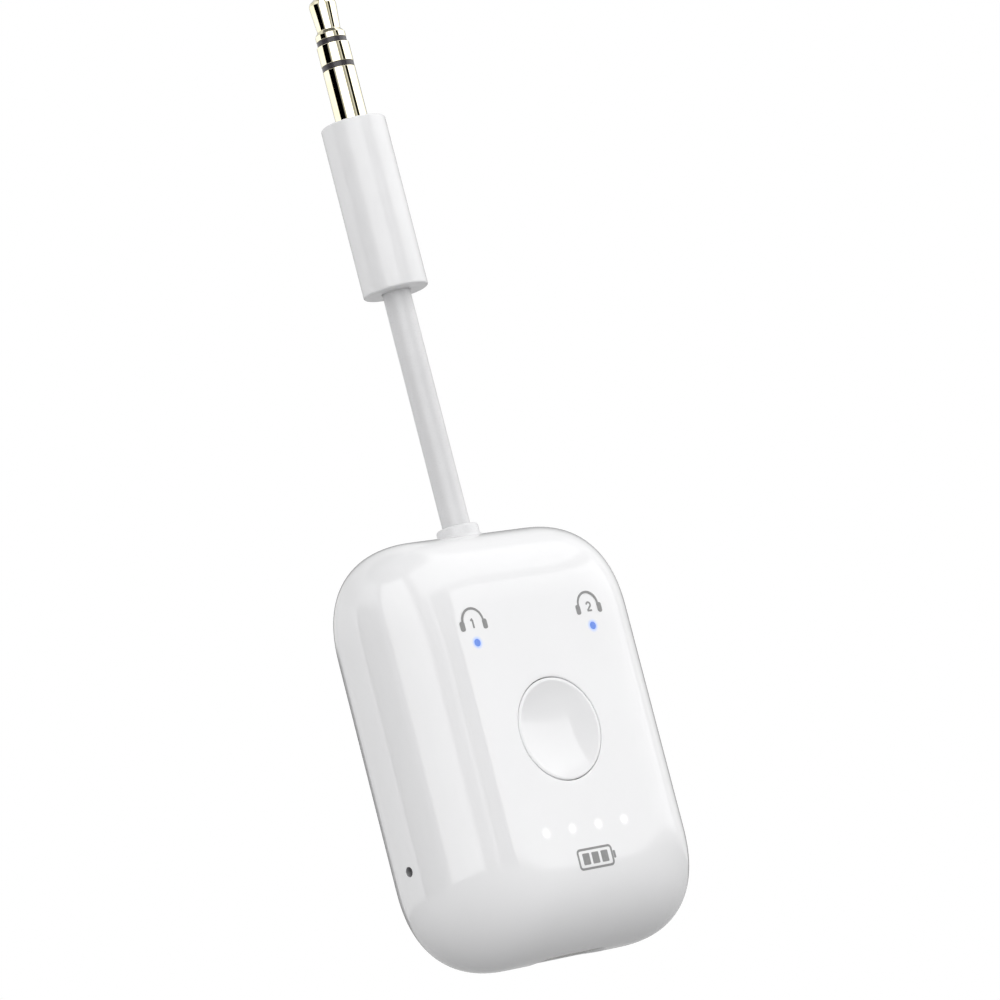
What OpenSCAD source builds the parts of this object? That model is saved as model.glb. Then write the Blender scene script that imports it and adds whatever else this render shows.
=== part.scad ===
// Pocket Bluetooth audio adapter on a short cord with a 3.5 mm plug.
// The origin is the plug's shoulder, where it seats against a socket.
// +Z runs out along the plug, -Y is the front face, and the case hangs below.

/* [Case] */
// Width of the case
body_w = 35.4; // [34:0.1:46]
// Height of the case, without the cord gland
body_h = 45.3; // [37.5:0.1:60]
// Thickness of the case, and twice the radius of its rounded edge
body_t = 15.8; // [15.4:0.1:19]
// How much larger the corner radius is than the edge radius
corner_extra = 1.1; // [0.5:0.1:3]
// Wall of the main shell and of the rear cover
wall = 1.4; // [1.2:0.1:1.7]
// Depth of the rear cover, from its joint line to the back face
cover_depth = 2.5; // [2.1:0.1:3]
// Clearance between the cover's lip and the shell
lip_gap = 0.1; // [0.05:0.01:0.2]

/* [Button] */
// Diameter of the round hole that the button sits in
button_hole_d = 11; // [9:0.1:13.2]
// Running clearance round the button, on the radius
button_gap = 0.08; // [0.05:0.01:0.1]
// Depth of the finger dish in the button
dish_depth = 0.75; // [0.3:0.05:0.9]
// Travel of the button and of the switch under it
button_travel = 0.3; // [0.2:0.05:0.4]

/* [Lamps] */
// Distance of each link lamp from the centre line
link_lamp_x = 8; // [6:0.1:9]
// Height of the link lamps above the button's centre
link_lamp_z = 10.1; // [8.4:0.1:12.2]
// Spacing of the four battery lamps
battery_lamp_pitch = 3.6; // [2.6:0.1:4.4]
// Distance of the battery lamps below the button's centre
battery_lamp_drop = 10.4; // [8.6:0.1:12.5]
// Diameter of the tips of the light guides
guide_tip_d = 1; // [0.6:0.1:1.2]

/* [Board] */
// Thickness of the circuit board
board_t = 1; // [0.8:0.1:1.2]
// Side of the square push switch under the button
switch_side = 4.5; // [3.7:0.1:5.4]
// Outer width of the charging socket
usb_w = 8.94; // [8.9:0.01:9]
// Outer height of the charging socket
usb_h = 3.2; // [3.16:0.02:3.3]
// Length of the charging socket
usb_len = 7.3; // [6.9:0.1:7.5]
// Height of the reset hole above the bottom of the case
reset_up = 11.75; // [11.5:0.05:14.1]
// Diameter of the reset hole
reset_hole_d = 1; // [0.8:0.1:1.2]

/* [Battery] */
// Gap between each side of the battery cell and the cover's lip
cell_side_gap = 0.2; // [0.15:0.05:4]
// Thickness of the battery cell
cell_t = 6; // [4:0.1:7.2]
// Thickness of the tape that holds the cell to the board
tape_t = 0.5; // [0.2:0.1:0.6]

/* [Cord and plug] */
// Diameter of the cord
cord_d = 3; // [2.4:0.1:3.6]
// Diameter of the gland's collar
gland_d = 4.5; // [4.4:0.1:5.4]
// How far the collar stands out of the case
gland_out = 1.1; // [0.8:0.1:2]
// Diameter of the plug handle
handle_d = 7; // [5.8:0.1:9]
// Length of the plug handle
handle_len = 18.8; // [15.6:0.1:24]
// Diameter of the plug
plug_d = 3.5; // [3.4:0.05:3.5]
// Height of the shoulder ring between the handle and the plug
shoulder_h = 0.3; // [0.2:0.1:0.6]

/* [Hidden] */
$fn = 64;
eps = 0.01;

// Level where the cord's route leaves the gland, which sets where the case hangs
cord_exit_z = -45;
body_z = cord_exit_z - gland_out - body_h / 2;

// Case levels: y counts from the middle of the case, z from its centre
edge_r = body_t / 2;
front_y = -edge_r;
inner_front_y = front_y + wall;
inner_back_y = edge_r - wall;
inner_r = edge_r - wall;
split_y = edge_r - cover_depth;
// Reach of the cavity past the straight part of the edge, at the joint line
mouth_reach = sqrt(inner_r * inner_r - split_y * split_y);
mouth_w = body_w - body_t + 2 * mouth_reach;
mouth_h = body_h - body_t + 2 * mouth_reach;
mouth_r = corner_extra + mouth_reach;
lip_t = 1.1;
lip_deep = 1;
hook_len = 4;
hook_out = 0.45;
hook_t = 0.5;

// Board, placed so that the charging socket on its back is in mid case
board_back_y = -usb_h / 2;
board_front_y = board_back_y - board_t;
board_edge_gap = 0.3;
board_w = mouth_w - 2 * board_edge_gap;
board_h = mouth_h - 2 * board_edge_gap;
board_r = mouth_r - board_edge_gap;

// Shield can
can_size = [8.4, 1.5, 11];
can_wall = 0.15;
can_x = board_w / 2 - 0.6 - can_size[0] / 2;
can_z = -1.4;

// Board posts and screws
screw_r = 0.7;
screw_head_r = 1.3;
screw_head_t = 0.8;
screw_len = 2.6;
post_r = 1.6;
post_in = 2.7;
post_x = board_w / 2 - post_in;
post_z = board_h / 2 - post_in;
fit_gap = 0.05;

// Button
button_r = button_hole_d / 2 - button_gap;
flange_r = button_hole_d / 2 + 0.8;
flange_t = 0.7;
flange_front_y = inner_front_y + fit_gap;
rim_w = 0.32;
dish_a = button_r - rim_w;
dish_sphere_r = (dish_a * dish_a + dish_depth * dish_depth) / (2 * dish_depth);
cap_core_t = 0.9;
guide_ring_gap = 0.1;
guide_ring_t = 0.8;
guide_ring_len = 1.5;
key_w = 1.2;
key_out = 0.6;

// Push switch under the button
switch_h = 1.25;
switch_well_r = switch_side / 2 - 0.35;
switch_well_deep = 1;
frame_t = 0.15;
stem_flange_r = switch_well_r - 0.3;
stem_r = stem_flange_r - 0.4;
stem_out = button_travel + 0.2;
stem_flange_t = 0.2;
dome_r = switch_well_r - 0.15;
dome_h = 0.62;
dome_t = 0.1;
button_post_r = stem_r + 0.1;
switch_front_y = board_front_y - switch_h;
stem_front_y = switch_front_y - frame_t - stem_out;

// Light guides and lamps
lamp_w = 1.6;
lamp_d = 0.8;
lamp_h = 0.7;
guide_tip_r = guide_tip_d / 2;
guide_body_r = 0.9;
guide_air = 0.2;
guide_front_y = inner_front_y + fit_gap;
guide_back_y = board_front_y - lamp_h - guide_air;
bar_t = 1.5;
battery_lamp_x = [for (i = [0:3]) (i - 1.5) * battery_lamp_pitch];

// Charging socket
usb_wall = 0.3;
usb_recess = 0.3;
usb_slot_gap = 0.18;
usb_mouth_z = -body_h / 2 + usb_recess;
tongue_w = 6.7;
tongue_t = 0.7;
tongue_len = 4.6;
usb_base_len = 1.4;
contact_w = 0.25;
contact_t = 0.05;
contact_len = 3.4;
contact_pitch = 0.5;

// Reset switch
reset_body = [3.5, 3, 3.4];
reset_pin_r = 0.6;
reset_pin_out = 1.2;
reset_pin_in = 1.4;
reset_travel = 0.25;
reset_face_x = -board_w / 2;
reset_z = -body_h / 2 + reset_up;

// Battery
cell_front_y = board_back_y + tape_t;
cell_back_y = cell_front_y + cell_t;
cell_top_z = post_z - screw_head_r - 0.3;
cell_bottom_z = reset_z + reset_body[2] / 2 + 1.6;
cell_w = mouth_w - 2 * (lip_gap + lip_t + cell_side_gap);
cell_h = cell_top_z - cell_bottom_z;
cell_mid_z = (cell_top_z + cell_bottom_z) / 2;
protection_h = 1.2;
lead_r = 0.4;

// Gland
gland_r = gland_d / 2;
gland_flange_r = gland_r + 0.85;
gland_flange_t = 1.2;
gland_boss_r = gland_flange_r + 0.7;
// The flange's rim just clears the curve of the inner wall
gland_seat_z = body_h / 2 - edge_r + sqrt(inner_r * inner_r - gland_flange_r * gland_flange_r) - 0.05;
cord_bore_r = cord_d / 2 + fit_gap;

// Plug
plug_r = plug_d / 2;
handle_r = handle_d / 2;
handle_top_z = -shoulder_h;
handle_bottom_z = handle_top_z - handle_len;
handle_cap_t = 0.8;
shoulder_r = plug_r + 0.2;
sleeve_flange_r = plug_r + 0.7;
sleeve_flange_t = 1.4;
core_r = sleeve_flange_r + 0.05;
core_top_z = handle_top_z - handle_cap_t - sleeve_flange_t;
core_bottom_z = -14;
cord_top_z = -15;
sleeve_end_z = 5.75;
band_t = 0.6;
ring_end_z = 8.5;
tip_back_z = ring_end_z + band_t;
tip_end_z = 14;
tube_gap = 0.02;
rod_r = 0.45;
wire_r = 0.25;
wire_ring_r = 0.7;

// Route of the cord's centre line, from inside the case to inside the handle
cord_route = [
    [0, 0, -50], [0, 0, -47.5], [0, 0, -45], [0, 0, -42.5], [0, 0, -40],
    [0, 0, -37.5], [0, 0, -35], [0, 0, -32.5], [0, 0, -30], [0, 0, -27.5],
    [0, 0, -25], [0, 0, -22.5], [0, 0, -20], [0, 0, -17.5], [0, 0, -15]
];
cord_sides = 8;

// Puts its children in the case's own coordinates
module in_case() {
    translate([0, 0, body_z])
        children();
}

module y_rod(r, y0, y1) {
    translate([0, y0, 0])
        rotate([-90, 0, 0])
            cylinder(r = r, h = y1 - y0);
}

module x_rod(r, x0, x1) {
    translate([x0, 0, 0])
        rotate([0, 90, 0])
            cylinder(r = r, h = x1 - x0);
}

module z_rod(r, z0, z1) {
    translate([0, 0, z0])
        cylinder(r = r, h = z1 - z0);
}

module z_tube(r_out, r_in, z0, z1) {
    difference() {
        z_rod(r_out, z0, z1);
        z_rod(r_in, z0 - 1, z1 + 1);
    }
}

// Box on the x and z axes between two y levels
module y_box(w, h, y0, y1) {
    translate([-w / 2, y0, -h / 2])
        cube([w, y1 - y0, h]);
}

module at_xz(x, z) {
    translate([x, 0, z])
        children();
}

// Rod of radius r from point a to point b
module rod_between(a, b, r) {
    d = b - a;
    len = norm(d);
    translate(a)
        rotate([0, acos(d[2] / len), atan2(d[1], d[0])])
            cylinder(r = r, h = len);
}

module rounded_rect(w, h, r) {
    difference() {
        square([w, h], center = true);
        for (sx = [-1, 1], sy = [-1, 1])
            translate([sx * (w / 2 - r), sy * (h / 2 - r)])
                difference() {
                    translate([sx * r, sy * r])
                        square(2 * r, center = true);
                    circle(r);
                }
    }
}

module y_plate(w, h, r, y0, y1) {
    translate([0, y1, 0])
        rotate([90, 0, 0])
            linear_extrude(y1 - y0)
                rounded_rect(w, h, r);
}

// Half of the case's section: a short flat run that ends in a half round
module edge_section(r, extra) {
    translate([0, -r])
        square([extra, 2 * r]);
    translate([extra, 0])
        intersection() {
            circle(r);
            translate([0, -r])
                square([r, 2 * r]);
        }
}

module edge_side(r, extra, len) {
    rotate([90, 0, 0])
        translate([0, 0, -len / 2])
            linear_extrude(len)
                edge_section(r, extra);
}

// Rounded block with a half-round edge and round corners, as thick as 2 r along y
module pillow(w, h, r, extra) {
    span_x = w - 2 * (r + extra);
    span_z = h - 2 * (r + extra);
    rotate([90, 0, 0]) {
        cube([span_x, span_z, 2 * r], center = true);
        for (k = [0, 1]) {
            rotate([0, 0, 180 * k])
                translate([span_x / 2, 0, 0])
                    edge_side(r, extra, span_z);
            rotate([0, 0, 180 * k + 90])
                translate([span_z / 2, 0, 0])
                    edge_side(r, extra, span_x);
        }
        for (k = [0:3])
            translate([(k == 0 || k == 3 ? 1 : -1) * span_x / 2, (k < 2 ? 1 : -1) * span_z / 2, 0])
                rotate([0, 0, 90 * k])
                    rotate_extrude(angle = 90)
                        edge_section(r, extra);
    }
}

module case_outer() {
    pillow(body_w, body_h, edge_r, corner_extra);
}

module case_inner() {
    pillow(body_w - 2 * wall, body_h - 2 * wall, inner_r, corner_extra);
}

module case_half(y0, y1) {
    intersection() {
        case_outer();
        y_box(body_w + 2, body_h + 2, y0, y1);
    }
}

module usb_outline(grow) {
    w = usb_w + 2 * grow;
    h = usb_h + 2 * grow;
    square([w - h, h], center = true);
    for (s = [-1, 1])
        translate([s * (w - h) / 2, 0])
            intersection() {
                circle(h / 2);
                translate([s * h / 4, 0])
                    square([h / 2, h], center = true);
            }
}

module main_shell() {
    color("white")
        in_case()
            difference() {
                union() {
                    difference() {
                        case_half(front_y - 1, split_y);
                        case_inner();
                    }
                    // Ring that guides the button's flange
                    difference() {
                        y_rod(flange_r + guide_ring_gap + guide_ring_t, inner_front_y - eps,
                            inner_front_y + guide_ring_len);
                        y_rod(flange_r + guide_ring_gap, inner_front_y - 1,
                            inner_front_y + guide_ring_len + 1);
                        translate([0, inner_front_y, -key_w / 2 - guide_ring_gap])
                            cube([flange_r + 2, guide_ring_len + 1, key_w + 2 * guide_ring_gap]);
                    }
                    // Flat seat for the gland's flange
                    z_rod(gland_boss_r, gland_seat_z, body_h / 2 - wall + 0.05);
                    // Posts for the board: screws at the top, locating pins at the bottom
                    for (sx = [-1, 1], sz = [-1, 1])
                        at_xz(sx * post_x, sz * post_z)
                            y_rod(post_r, inner_front_y - eps, board_front_y);
                    for (sx = [-1, 1])
                        at_xz(sx * post_x, -post_z)
                            y_rod(screw_r, board_front_y - eps, board_back_y + 0.4);
                }
                y_rod(button_hole_d / 2, front_y - 1, inner_front_y + 0.5);
                for (sx = [-1, 1])
                    at_xz(sx * link_lamp_x, link_lamp_z)
                        y_rod(guide_tip_r + fit_gap, front_y - 1, inner_front_y + 0.5);
                for (x = battery_lamp_x)
                    at_xz(x, -battery_lamp_drop)
                        y_rod(guide_tip_r + fit_gap, front_y - 1, inner_front_y + 0.5);
                for (sx = [-1, 1])
                    at_xz(sx * post_x, post_z)
                        y_rod(screw_r + 0.02, board_front_y - screw_len, board_front_y + 1);
                z_rod(gland_r + fit_gap, gland_seat_z - 1, body_h / 2 + 1);
                translate([0, 0, -body_h / 2 - 1])
                    linear_extrude(1 + wall + 1)
                        usb_outline(usb_slot_gap);
                translate([0, 0, reset_z])
                    x_rod(reset_hole_d / 2, -body_w / 2 - 1, -body_w / 2 + wall + 1);
            }
}

module rear_cover() {
    hook_w = lip_t + hook_out;
    color("white")
        in_case() {
            difference() {
                case_half(split_y, edge_r + 1);
                case_inner();
            }
            // Lip inside the shell's mouth
            intersection() {
                case_inner();
                difference() {
                    y_plate(mouth_w - 2 * lip_gap, mouth_h - 2 * lip_gap, mouth_r - lip_gap,
                        split_y - lip_deep, edge_r);
                    y_plate(mouth_w - 2 * (lip_gap + lip_t), mouth_h - 2 * (lip_gap + lip_t),
                        mouth_r - lip_gap - lip_t, split_y - lip_deep - 1, edge_r + 1);
                }
            }
            // Hooks on the lip that catch behind the shell's rim
            for (sx = [-1, 1], sz = [-1, 1])
                translate([sx * (mouth_w / 2 - lip_gap - lip_t + hook_w / 2),
                    split_y - lip_deep - eps + hook_t / 2, sz * mouth_h / 4])
                    cube([hook_w, hook_t, hook_len], center = true);
        }
}

module mode_button() {
    color("white")
        in_case()
            difference() {
                union() {
                    y_rod(button_r, front_y, flange_front_y + eps);
                    y_rod(flange_r, flange_front_y, flange_front_y + flange_t);
                    translate([0, flange_front_y, -key_w / 2])
                        cube([flange_r + key_out, flange_t, key_w]);
                    y_rod(button_post_r, flange_front_y, stem_front_y - fit_gap);
                }
                translate([0, front_y + dish_depth - dish_sphere_r, 0])
                    sphere(dish_sphere_r);
                difference() {
                    y_rod(button_r - 0.9, front_y + dish_depth + cap_core_t,
                        flange_front_y + flange_t + 1);
                    y_rod(button_post_r, front_y, stem_front_y);
                }
            }
}

// One stepped pin: a thin tip in the wall and a thicker body behind it
module guide_pin() {
    y_rod(guide_tip_r, front_y, guide_front_y + eps);
    y_rod(guide_body_r, guide_front_y, guide_back_y);
}

module link_light_guides() {
    color("lightblue", 0.7)
        in_case()
            for (sx = [-1, 1])
                at_xz(sx * link_lamp_x, link_lamp_z)
                    guide_pin();
}

module battery_light_guide() {
    color("white", 0.7)
        in_case() {
            at_xz(0, -battery_lamp_drop)
                y_box(3 * battery_lamp_pitch + 2 * guide_body_r, 2 * guide_body_r,
                    guide_front_y, guide_front_y + bar_t);
            for (x = battery_lamp_x)
                at_xz(x, -battery_lamp_drop)
                    guide_pin();
        }
}

module main_board() {
    color("darkgreen")
        in_case()
            difference() {
                y_plate(board_w, board_h, board_r, board_front_y, board_back_y);
                for (sx = [-1, 1], sz = [-1, 1])
                    at_xz(sx * post_x, sz * post_z)
                        y_rod(screw_r + fit_gap, board_front_y - 1, board_back_y + 1);
            }
}

module board_screws() {
    color("silver")
        in_case()
            for (sx = [-1, 1])
                at_xz(sx * post_x, post_z)
                    difference() {
                        union() {
                            y_rod(screw_r, board_front_y - screw_len + 0.2, board_back_y + eps);
                            y_rod(screw_head_r, board_back_y, board_back_y + screw_head_t);
                        }
                        for (turn = [0, 90])
                            translate([0, board_back_y + screw_head_t, 0])
                                rotate([0, turn, 0])
                                    cube([1.5, 0.8, 0.3], center = true);
                    }
}

// Parts on the board's front face stand on it and reach forwards
module on_front(x, z, size) {
    translate([x - size[0] / 2, board_front_y - size[1], z - size[2] / 2])
        cube(size);
}

// Parts on the board's back face stand on it and reach backwards
module on_back(x, z, size) {
    translate([x - size[0] / 2, board_back_y, z - size[2] / 2])
        cube(size);
}

module bluetooth_chip() {
    color("dimgray")
        in_case()
            on_front(can_x, can_z - 1.8, [5, 0.85, 5]);
}

module shield_can() {
    color("silver")
        in_case()
            difference() {
                on_front(can_x, can_z, can_size);
                on_front(can_x, can_z, can_size - [2 * can_wall, can_wall, 2 * can_wall]);
            }
}

module clock_crystal() {
    color("gainsboro")
        in_case()
            on_front(can_x, can_z + 3.2, [2.5, 0.6, 2]);
}

module chip_antenna() {
    color("ivory")
        in_case()
            on_front(0, board_h / 2 - 1.6, [3.2, 0.6, 1.6]);
}

module power_inductor() {
    color("dimgray")
        in_case()
            on_front(-board_w / 2 + 3, 2.6, [3, 1.2, 3]);
}

module charger_chip() {
    color("dimgray")
        in_case()
            on_front(-board_w / 2 + 3, -3, [2.9, 1, 2.8]);
}

module memory_chip() {
    color("dimgray")
        in_case()
            on_front(-board_w / 2 + 3, -8.2, [4, 0.75, 3.2]);
}

module capacitors() {
    color("peru")
        in_case() {
            for (k = [0:3])
                on_front(-5.2, 3.6 - 2.2 * k, [0.5, 0.5, 1]);
            for (k = [0:2])
                on_front(-2 + 2 * k, board_h / 2 - 5.5, [1, 0.5, 0.5]);
            for (sx = [-1, 1])
                on_back(sx * 7.2, -board_h / 2 + 3, [1.2, 0.8, 2]);
        }
}

module resistors() {
    color("black")
        in_case() {
            for (k = [0:3])
                on_front(battery_lamp_x[k], -battery_lamp_drop - 2.4, [0.5, 0.35, 1]);
            for (sx = [-1, 1])
                on_front(sx * (link_lamp_x - 2.4), link_lamp_z, [0.5, 0.35, 1]);
        }
}

module link_lamps() {
    color("white")
        in_case()
            for (sx = [-1, 1])
                on_front(sx * link_lamp_x, link_lamp_z, [lamp_w, lamp_h, lamp_d]);
}

module battery_lamps() {
    color("white")
        in_case()
            for (x = battery_lamp_x)
                on_front(x, -battery_lamp_drop, [lamp_w, lamp_h, lamp_d]);
}

module mode_switch_base() {
    color("black")
        in_case()
            difference() {
                on_front(0, 0, [switch_side, switch_h, switch_side]);
                y_rod(switch_well_r, switch_front_y - 1, switch_front_y + switch_well_deep);
            }
}

module mode_switch_dome() {
    ball_r = (dome_r * dome_r + dome_h * dome_h) / (2 * dome_h);
    well_y = switch_front_y + switch_well_deep;
    color("gold")
        in_case()
            intersection() {
                translate([0, well_y - dome_h + ball_r, 0])
                    difference() {
                        sphere(ball_r);
                        sphere(ball_r - dome_t);
                    }
                y_rod(dome_r + 0.5, well_y - dome_h - 0.2, well_y);
            }
}

module mode_switch_plunger() {
    color("black")
        in_case() {
            y_rod(stem_r, stem_front_y, switch_front_y + fit_gap + eps);
            y_rod(stem_flange_r, switch_front_y + fit_gap,
                switch_front_y + fit_gap + stem_flange_t);
        }
}

module mode_switch_frame() {
    color("silver")
        in_case()
            difference() {
                y_box(switch_side, switch_side, switch_front_y - frame_t, switch_front_y);
                y_rod(stem_r + fit_gap, switch_front_y - 1, switch_front_y + 1);
            }
}

module reset_switch_body() {
    color("black")
        in_case()
            difference() {
                translate([reset_face_x, board_back_y, reset_z - reset_body[2] / 2])
                    cube(reset_body);
                translate([0, 0, reset_z])
                    x_rod(reset_pin_r + fit_gap, reset_face_x - 1,
                        reset_face_x + reset_pin_in + reset_travel + 0.2);
            }
}

module reset_switch_plunger() {
    color("ivory")
        in_case()
            translate([0, 0, reset_z])
                x_rod(reset_pin_r, reset_face_x - reset_pin_out, reset_face_x + reset_pin_in);
}

module usb_shell() {
    color("silver")
        in_case()
            difference() {
                translate([0, 0, usb_mouth_z])
                    linear_extrude(usb_len)
                        usb_outline(0);
                translate([0, 0, usb_mouth_z - 1])
                    linear_extrude(usb_len - usb_wall + 1)
                        usb_outline(-usb_wall);
            }
}

module usb_tongue() {
    tongue_z = usb_mouth_z + usb_len - usb_wall;
    color("black")
        in_case() {
            translate([0, 0, tongue_z - usb_base_len])
                linear_extrude(usb_base_len)
                    usb_outline(-usb_wall - 0.02);
            translate([-tongue_w / 2, -tongue_t / 2, tongue_z - usb_base_len - tongue_len])
                cube([tongue_w, tongue_t, tongue_len + eps]);
        }
}

module usb_contacts() {
    contact_z = usb_mouth_z + usb_len - usb_wall - usb_base_len - contact_len;
    color("gold")
        in_case()
            for (s = [0, 1], k = [0:11])
                translate([(k - 5.5) * contact_pitch - contact_w / 2,
                    s == 0 ? -tongue_t / 2 - contact_t : tongue_t / 2, contact_z])
                    cube([contact_w, contact_t, contact_len]);
}

module battery_cell() {
    color("silver")
        in_case()
            at_xz(0, cell_mid_z)
                y_plate(cell_w, cell_h, 1, cell_front_y, cell_back_y);
}

module battery_protection_board() {
    color("darkgreen")
        in_case()
            at_xz(0, cell_bottom_z - protection_h / 2)
                y_box(cell_w / 2, protection_h, cell_front_y + 0.5, cell_front_y + 3.5);
}

module battery_leads() {
    lead_top = [0, cell_front_y + 1.5, cell_bottom_z - protection_h - lead_r / 2];
    color("red")
        in_case()
            for (x = [2.2, 4.2])
                rod_between(lead_top + [x, 0, 0],
                    [x, board_back_y + lead_r + 0.1, cell_bottom_z - protection_h - 2.2], lead_r);
}

module battery_tape() {
    color("ivory")
        in_case()
            at_xz(0, cell_mid_z)
                y_box(cell_w - 6, cell_h - 6, board_back_y, cell_front_y);
}

module foam_pad() {
    color("dimgray")
        in_case()
            at_xz(0, cell_mid_z)
                y_box(cell_w - 8, cell_h - 8, cell_back_y, inner_back_y);
}

module cord_gland() {
    color("white")
        in_case()
            difference() {
                union() {
                    z_rod(gland_r, gland_seat_z - eps, body_h / 2 + gland_out);
                    z_rod(gland_flange_r, gland_seat_z - gland_flange_t, gland_seat_z);
                }
                z_rod(cord_bore_r, gland_seat_z - gland_flange_t - 1, body_h / 2 + gland_out + 1);
            }
}

// Tube swept along a route that runs mainly along z
module swept_tube(route, r, sides) {
    rings = len(route);
    points = [for (p = route, k = [0:sides - 1])
        p + r * [cos(360 * k / sides), sin(360 * k / sides), 0]];
    walls = [for (j = [0:rings - 2], k = [0:sides - 1])
        [j * sides + k, (j + 1) * sides + k, (j + 1) * sides + (k + 1) % sides,
            j * sides + (k + 1) % sides]];
    start = [for (k = [0:sides - 1]) k];
    finish = [for (k = [0:sides - 1]) rings * sides - 1 - k];
    polyhedron(points, concat(walls, [start], [finish]));
}

module cord() {
    color("whitesmoke")
        swept_tube(cord_route, cord_d / 2, cord_sides);
}

module cord_wires() {
    start_z = cord_route[0][2] - body_z - wire_r / 2;
    color("orange")
        in_case()
            for (k = [-1:1])
                rod_between([k * wire_ring_r, 0, start_z],
                    [2 * k, board_back_y + wire_r + 0.1, board_h / 2 - 1.8], wire_r);
}

module plug_handle() {
    color("white")
        difference() {
            z_rod(handle_r, handle_bottom_z, handle_top_z);
            z_rod(shoulder_r + fit_gap, handle_top_z - handle_cap_t - 1, handle_top_z + 1);
            z_rod(core_r + fit_gap, core_bottom_z, handle_top_z - handle_cap_t);
            z_rod(1, cord_top_z - 1, core_bottom_z + 1);
            z_rod(cord_bore_r, handle_bottom_z - 1, cord_top_z);
        }
}

module plug_core() {
    color("ivory")
        z_tube(core_r, 1.3, core_bottom_z + 0.02, core_top_z - 0.02);
}

module plug_wires() {
    color("orange")
        for (k = [0:2])
            rotate([0, 0, 120 * k + 90])
                translate([wire_ring_r, 0, 0])
                    z_rod(wire_r, cord_top_z + 0.02, -6.1);
}

module plug_sleeve() {
    bore_r = rod_r + 0.9;
    color("gold")
        difference() {
            union() {
                z_rod(plug_r, 0, sleeve_end_z);
                z_rod(shoulder_r, handle_top_z - handle_cap_t, 0);
                z_rod(sleeve_flange_r, core_top_z, handle_top_z - handle_cap_t);
            }
            z_rod(bore_r, core_top_z - 1, sleeve_end_z + 1);
        }
}

module plug_sleeve_insulator() {
    color("dimgray")
        difference() {
            union() {
                z_rod(rod_r + 0.9 - tube_gap, core_top_z, sleeve_end_z + eps);
                z_rod(plug_r - tube_gap, sleeve_end_z, sleeve_end_z + band_t);
            }
            z_rod(rod_r + 0.6, core_top_z - 1, sleeve_end_z + band_t + 1);
        }
}

module plug_ring() {
    color("gold")
        difference() {
            union() {
                z_rod(rod_r + 0.6 - tube_gap, core_top_z - 2, sleeve_end_z + band_t + eps);
                z_rod(plug_r, sleeve_end_z + band_t, ring_end_z);
            }
            z_rod(rod_r + 0.3, core_top_z - 3, ring_end_z + 1);
        }
}

module plug_ring_insulator() {
    color("dimgray")
        difference() {
            union() {
                z_rod(rod_r + 0.3 - tube_gap, core_top_z - 2, ring_end_z + eps);
                z_rod(plug_r - tube_gap, ring_end_z, tip_back_z);
            }
            z_rod(rod_r + tube_gap, core_top_z - 3, tip_back_z + 1);
        }
}

module plug_tip() {
    neck_r = plug_r - 0.5;
    crown_r = plug_r - 0.28;
    lip_z = tip_back_z + 0.6;
    neck_z = lip_z + 0.45;
    crown_z = tip_end_z - 1;
    color("gold")
        rotate_extrude()
            polygon([[0, -6], [rod_r, -6], [rod_r, tip_back_z], [plug_r, tip_back_z],
                [plug_r, lip_z], [neck_r, neck_z], [crown_r, crown_z],
                [crown_r - 0.12, crown_z + 0.35], [0.6, tip_end_z - 0.1], [0.35, tip_end_z],
                [0, tip_end_z]]);
}

main_shell();
rear_cover();
mode_button();
link_light_guides();
battery_light_guide();
main_board();
board_screws();
bluetooth_chip();
shield_can();
clock_crystal();
chip_antenna();
power_inductor();
charger_chip();
memory_chip();
capacitors();
resistors();
link_lamps();
battery_lamps();
mode_switch_base();
mode_switch_dome();
mode_switch_plunger();
mode_switch_frame();
reset_switch_body();
reset_switch_plunger();
usb_shell();
usb_tongue();
usb_contacts();
battery_cell();
battery_protection_board();
battery_leads();
battery_tape();
foam_pad();
cord_gland();
cord();
cord_wires();
plug_handle();
plug_core();
plug_wires();
plug_sleeve();
plug_sleeve_insulator();
plug_ring();
plug_ring_insulator();
plug_tip();
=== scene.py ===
import math

import bpy
import numpy as np
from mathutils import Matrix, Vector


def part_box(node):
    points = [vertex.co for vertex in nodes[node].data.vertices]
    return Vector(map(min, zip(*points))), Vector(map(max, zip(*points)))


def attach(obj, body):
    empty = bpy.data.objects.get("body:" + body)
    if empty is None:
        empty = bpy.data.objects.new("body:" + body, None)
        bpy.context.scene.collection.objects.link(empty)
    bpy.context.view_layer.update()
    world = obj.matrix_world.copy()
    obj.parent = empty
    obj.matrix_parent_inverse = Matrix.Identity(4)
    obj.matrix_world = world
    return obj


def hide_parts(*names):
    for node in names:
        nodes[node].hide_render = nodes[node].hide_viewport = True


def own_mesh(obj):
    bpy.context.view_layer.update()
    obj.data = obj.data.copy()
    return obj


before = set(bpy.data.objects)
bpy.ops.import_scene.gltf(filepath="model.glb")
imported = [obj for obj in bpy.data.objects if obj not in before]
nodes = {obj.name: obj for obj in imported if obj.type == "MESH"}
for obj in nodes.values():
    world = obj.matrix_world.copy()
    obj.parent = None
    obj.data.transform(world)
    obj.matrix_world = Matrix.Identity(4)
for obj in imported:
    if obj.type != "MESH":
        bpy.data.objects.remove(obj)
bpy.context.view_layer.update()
mm = 0.001
print("frame loaded:", len(nodes), "nodes")


# sRGB hex to the linear values that shaders take
def hexColor(code):
    srgb = np.array([int(code[k:k + 2], 16) for k in (1, 3, 5)]) / 255
    linear = np.where(srgb <= 0.04045, srgb / 12.92, ((srgb + 0.055) / 1.055) ** 2.4)
    return (*linear.tolist(), 1.0)


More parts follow.
